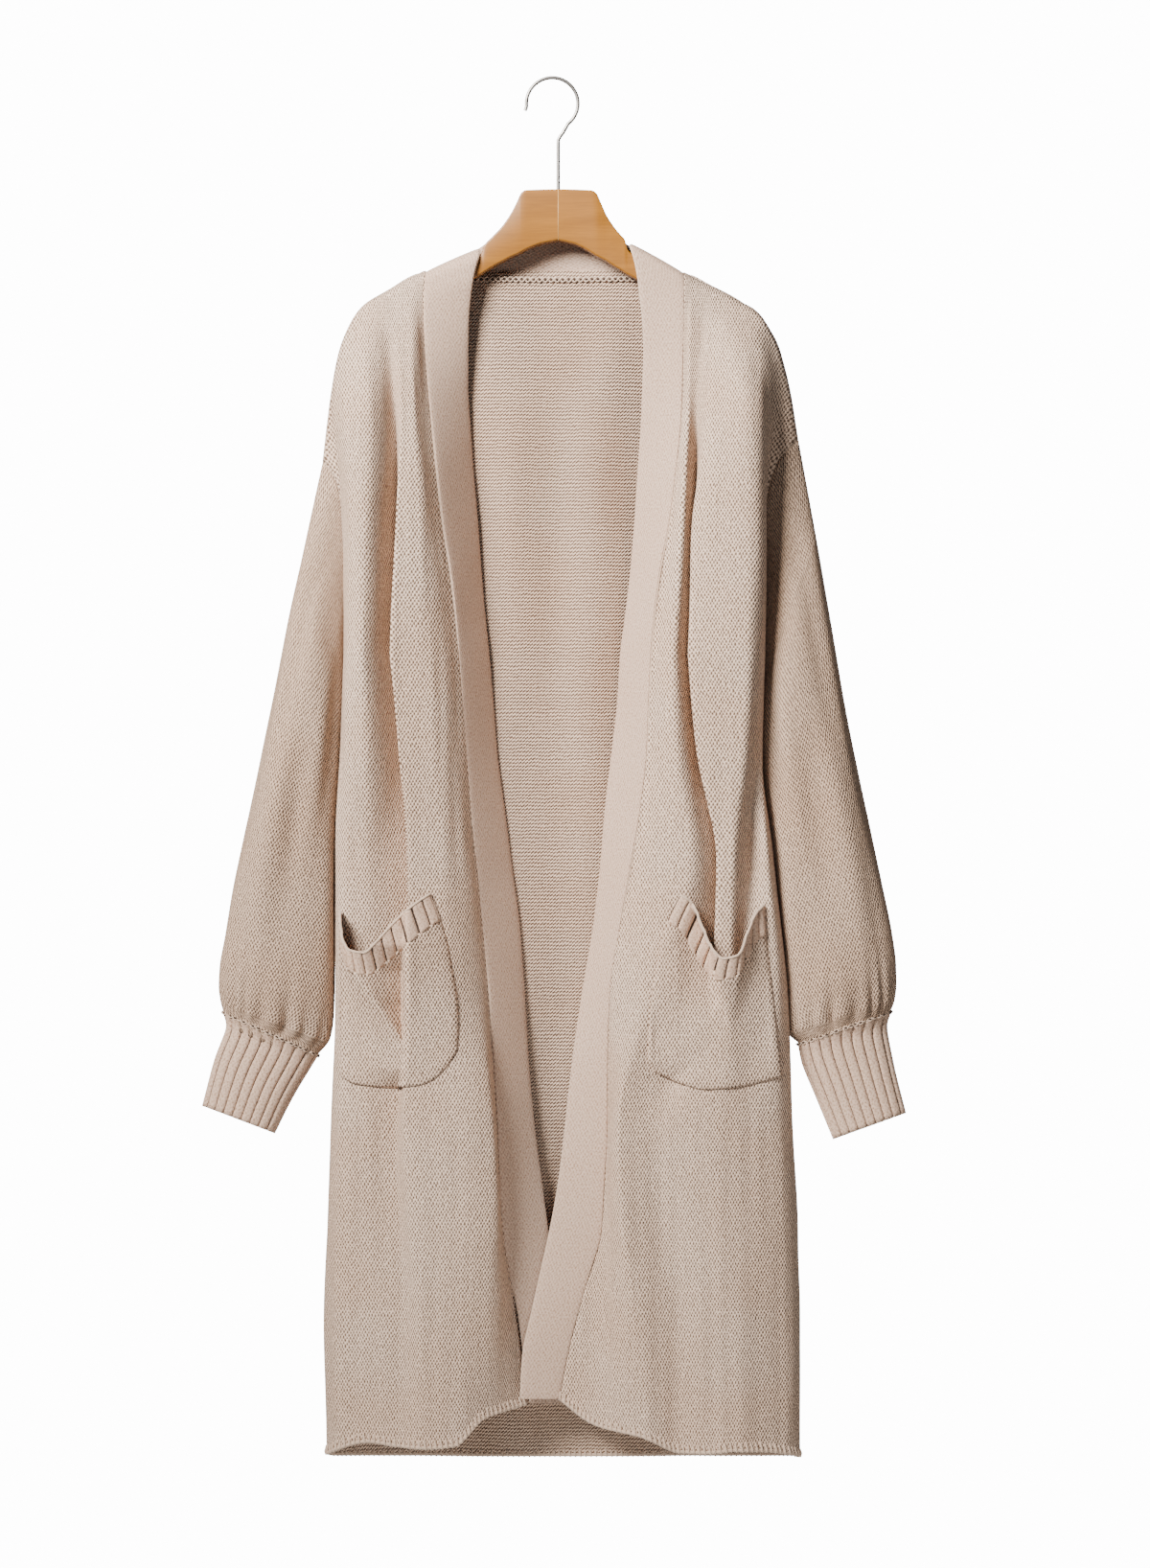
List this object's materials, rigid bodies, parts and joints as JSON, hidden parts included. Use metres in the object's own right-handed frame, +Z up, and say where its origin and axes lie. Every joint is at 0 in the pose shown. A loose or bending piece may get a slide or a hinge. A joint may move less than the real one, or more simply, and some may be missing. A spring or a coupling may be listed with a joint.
{
  "type": "duster cardigan on a wooden hanger",
  "caption": "Long open-front knitted duster cardigan with full sleeves, ribbed cuffs and patch pockets, hung on a wooden hanger with a wire hook.",
  "frame": {"origin": "seat of the hook, the inside top of its bend", "axes": "+Z up, -Y out of the garment's front, +X to the viewer's right, the wearer's left"},
  "size_m": [0.5878, 0.0958, 1.1557],
  "materials": {
    "beige_knit": "fine plain knit, matt, slightly hairy",
    "beige_rib_knit": "ribbed and doubled knit, matt",
    "lacquered_wood": "pale wood under a satin clear lacquer",
    "nickel_wire": "satin nickel plated steel wire"
  },
  "bodies": {
    "root": {"back": "beige_knit", "front_right": "beige_knit", "front_left": "beige_knit", "sleeve_right": "beige_knit", "sleeve_left": "beige_knit", "cuff_right": "beige_rib_knit", "cuff_left": "beige_rib_knit", "front_band": "beige_rib_knit", "pocket_right": "beige_knit", "pocket_left": "beige_knit", "pocket_rib_right": "beige_rib_knit", "pocket_rib_left": "beige_rib_knit", "hanger_right": "lacquered_wood", "hanger_left": "lacquered_wood", "hook": "nickel_wire"}
  },
  "joints": []
}
